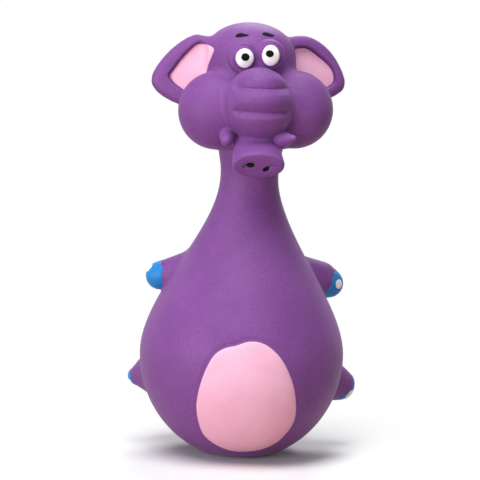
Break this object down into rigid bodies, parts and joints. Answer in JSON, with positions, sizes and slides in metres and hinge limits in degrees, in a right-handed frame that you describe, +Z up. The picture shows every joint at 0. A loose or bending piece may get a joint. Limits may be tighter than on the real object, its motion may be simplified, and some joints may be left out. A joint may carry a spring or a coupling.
{
  "type": "squeaky dog toy",
  "caption": "Pear-bodied latex elephant that squeaks when its belly is pressed, with a flexing head, trunk, ears and limbs and a reed squeaker plugged in its base.",
  "frame": {"origin": "on the floor, below the middle of the body", "axes": "+Z up through the head, -Y out of the face and belly, +X to the right as seen in the picture"},
  "size_m": [0.0988, 0.0844, 0.1775],
  "materials": {
    "latex": "matte purple latex with a fine powdery bloom",
    "pink_paint": "brushed satin pink paint on latex",
    "blue_paint": "brushed glossy blue paint on latex",
    "white_paint": "glossy white paint on latex",
    "black_paint": "glossy black paint on latex",
    "squeaker_plastic": "moulded ivory plastic",
    "reed_film": "thin clear-grey plastic film"
  },
  "bodies": {
    "torso": {"body_shell": "latex", "squeaker_cup": "squeaker_plastic", "squeaker_cap": "squeaker_plastic", "reed_block": "squeaker_plastic", "reed_wedge": "squeaker_plastic"},
    "belly": {"belly_wall": "latex", "belly_patch": "pink_paint"},
    "neck": {"neck_sleeve": "latex"},
    "head": {"head_shell": "latex", "tusk_left": "latex", "tusk_right": "latex", "eye_white_left": "white_paint", "eye_white_right": "white_paint", "pupil_left": "black_paint", "pupil_right": "black_paint", "brow_left": "black_paint", "brow_right": "black_paint"},
    "trunk": {"trunk_tip": "latex", "nostril_left": "black_paint", "nostril_right": "black_paint"},
    "ear_left_flap": {"ear_left": "latex", "ear_lining_left": "pink_paint"},
    "ear_right_flap": {"ear_right": "latex", "ear_lining_right": "pink_paint"},
    "arm_left_stub": {"arm_left": "latex", "hand_paint_left": "blue_paint", "hand_nail_left": "white_paint"},
    "arm_right_stub": {"arm_right": "latex", "hand_paint_right": "blue_paint", "hand_nail_right": "white_paint"},
    "leg_left_stub": {"leg_left": "latex", "foot_paint_left": "blue_paint", "foot_nail_left": "white_paint"},
    "leg_right_stub": {"leg_right": "latex", "foot_paint_right": "blue_paint", "foot_nail_right": "white_paint"},
    "reed_strip": {"reed": "reed_film"}
  },
  "joints": [
    {"name": "belly_press", "type": "slide", "parent": "torso", "child": "belly", "axis": [0, 0.9239, 0.3827], "range_m": [0, 0.007], "stiffness_N_per_m": 600},
    {"name": "head_turn", "type": "hinge", "parent": "torso", "child": "neck", "pos_m": [0, 0, 0.104], "axis": [0, 0, 1], "range_deg": [-25, 25], "stiffness_Nm_per_rad": 0.3},
    {"name": "head_nod", "type": "hinge", "parent": "neck", "child": "head", "pos_m": [0, 0, 0.131], "axis": [1, 0, 0], "range_deg": [-14, 14], "stiffness_Nm_per_rad": 0.4},
    {"name": "trunk_flex", "type": "hinge", "parent": "head", "child": "trunk", "pos_m": [0, -0.0215, 0.1315], "axis": [1, 0, 0], "range_deg": [-10, 10], "stiffness_Nm_per_rad": 0.015},
    {"name": "ear_left_flex", "type": "hinge", "parent": "head", "child": "ear_left_flap", "pos_m": [-0.0156, 0.003, 0.1727], "axis": [-0.4434, 0, -0.8963], "range_deg": [-15, 15], "stiffness_Nm_per_rad": 0.03},
    {"name": "ear_right_flex", "type": "hinge", "parent": "head", "child": "ear_right_flap", "pos_m": [0.0156, 0.003, 0.1727], "axis": [0.4434, 0, -0.8963], "range_deg": [-15, 15], "stiffness_Nm_per_rad": 0.03},
    {"name": "arm_left_flex", "type": "hinge", "parent": "torso", "child": "arm_left_stub", "pos_m": [-0.02802, 0.00684, 0.07511], "axis": [0.1804, 0.9836, 0], "range_deg": [-10, 10], "stiffness_Nm_per_rad": 0.015},
    {"name": "arm_right_flex", "type": "hinge", "parent": "torso", "child": "arm_right_stub", "pos_m": [0.02802, 0.00684, 0.07511], "axis": [0.1804, -0.9836, 0], "range_deg": [-10, 10], "stiffness_Nm_per_rad": 0.015},
    {"name": "leg_left_flex", "type": "hinge", "parent": "torso", "child": "leg_left_stub", "pos_m": [-0.03752, 0.01464, 0.03001], "axis": [0.4415, 0.8972, 0], "range_deg": [-10, 10], "stiffness_Nm_per_rad": 0.015},
    {"name": "leg_right_flex", "type": "hinge", "parent": "torso", "child": "leg_right_stub", "pos_m": [0.03752, 0.01464, 0.03001], "axis": [0.4415, -0.8972, 0], "range_deg": [-10, 10], "stiffness_Nm_per_rad": 0.015},
    {"name": "reed_flutter", "type": "hinge", "parent": "torso", "child": "reed_strip", "pos_m": [0, 0, 0.0086], "axis": [1, 0, 0], "range_deg": [-4, 4], "stiffness_Nm_per_rad": 0.00002}
  ]
}
